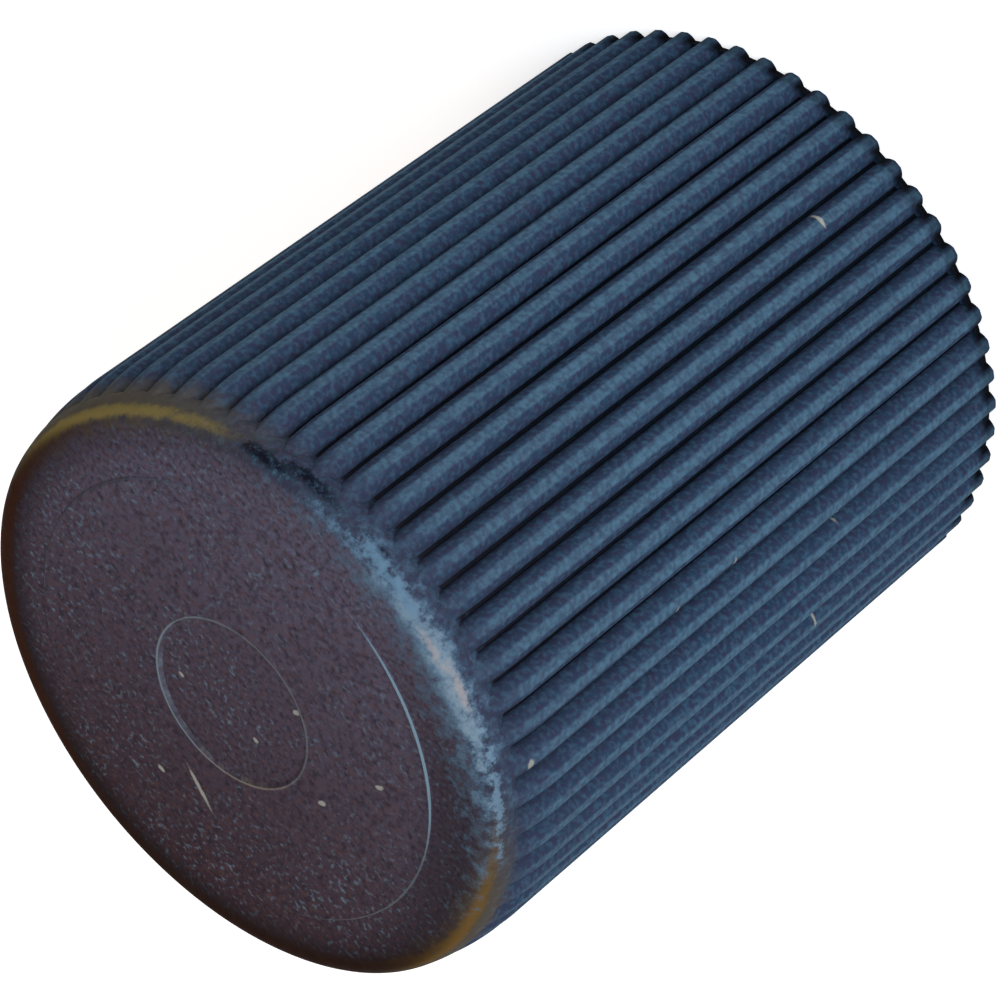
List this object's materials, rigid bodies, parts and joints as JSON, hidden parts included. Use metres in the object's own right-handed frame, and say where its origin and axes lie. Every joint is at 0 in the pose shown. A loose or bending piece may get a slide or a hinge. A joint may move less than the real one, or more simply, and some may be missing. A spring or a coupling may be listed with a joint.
{
  "type": "screw cap",
  "caption": "Ribbed screw-on protection cap with a blind threaded bore, a plain lead-in at the mouth and a rounded closed end.",
  "frame": {"origin": "centre of the mouth, on the plane that the cap stands on", "axes": "+Z along the cap's axis, from the mouth to the closed end; +X through the middle of a groove"},
  "size_m": [0.017, 0.017, 0.0212],
  "materials": {
    "cap": "fine moulded grain, lightly worn on the rim"
  },
  "bodies": {
    "root": {"cap": "cap"}
  },
  "joints": []
}
